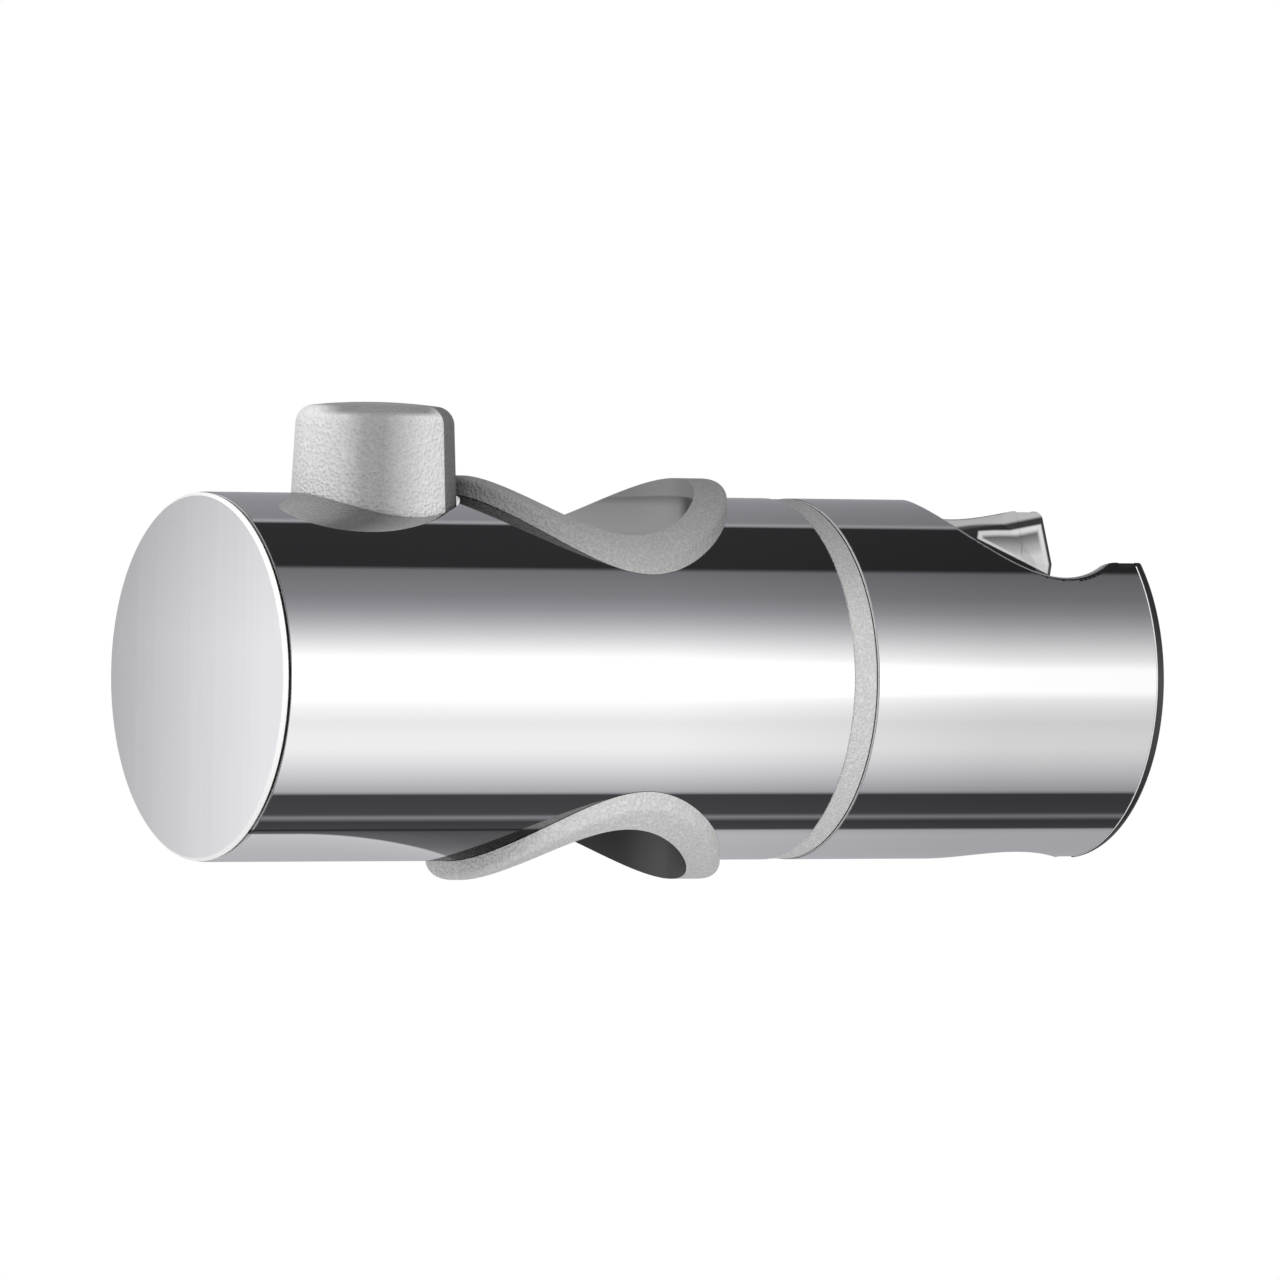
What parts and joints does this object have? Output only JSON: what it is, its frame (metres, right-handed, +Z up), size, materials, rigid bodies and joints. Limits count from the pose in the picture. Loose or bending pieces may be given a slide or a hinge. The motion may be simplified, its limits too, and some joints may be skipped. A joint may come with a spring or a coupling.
{
  "type": "shower rail slider",
  "caption": "Chromed cylinder that clamps on an upright shower rail, with a push-button release and a swivelling slotted cradle for the handset.",
  "frame": {"origin": "where the rail's axis crosses the cylinder's axis, halfway through the rail hole", "axes": "+Z up along the rail, +X along the cylinder towards the handset cradle, -Y to the front"},
  "size_m": [0.1171, 0.042, 0.0547],
  "materials": {
    "chrome": "bright chrome plate",
    "brushed_plate": "satin, vertical brushing",
    "dark_plastic": "fine matt moulding",
    "grey_trim": "satin moulding",
    "grey_button": "leather-like grain",
    "inner_plastic": "plain moulding",
    "shoe_plastic": "plain moulding",
    "black_rubber": "soft matt",
    "bright_steel": "turned and drawn",
    "brass": "turned"
  },
  "bodies": {
    "slider": {"body_shell": "chrome", "end_disc": "brushed_plate", "end_plug": "dark_plastic", "core": "inner_plastic", "upper_bush": "grey_trim", "lower_bush": "grey_trim", "swivel_ring": "grey_trim", "friction_ring": "black_rubber", "thrust_washer": "bright_steel", "spring_washer": "bright_steel", "clamp_spring": "bright_steel", "button_spring": "bright_steel"},
    "button": {"push_button": "grey_button", "release_cam": "bright_steel"},
    "shoe": {"clamp_shoe": "shoe_plastic", "grip_pad": "black_rubber", "release_pin": "bright_steel"},
    "cradle": {"cradle_shell": "chrome", "cradle_hub": "inner_plastic", "thread_insert": "brass", "hub_screws": "bright_steel", "front_end_cap": "dark_plastic", "rear_end_cap": "dark_plastic", "pivot_screw": "bright_steel"}
  },
  "joints": [
    {"name": "button_press", "type": "slide", "parent": "slider", "child": "button", "axis": [0, 0, -1], "range_m": [0, 0.003], "stiffness_N_per_m": 1500, "springref_m": -0.003, "deforming": ["button_spring"]},
    {"name": "shoe_release", "type": "slide", "parent": "slider", "child": "shoe", "axis": [-1, 0, 0], "range_m": [0, 0.003], "deforming": ["clamp_spring"]},
    {"name": "cradle_swivel", "type": "hinge", "parent": "slider", "child": "cradle", "pos_m": [0.02825, 0, 0], "axis": [1, 0, 0], "continuous": true}
  ],
  "couplings": [
    {"joint": "shoe_release", "follows": "button_press", "ratio": 1}
  ]
}
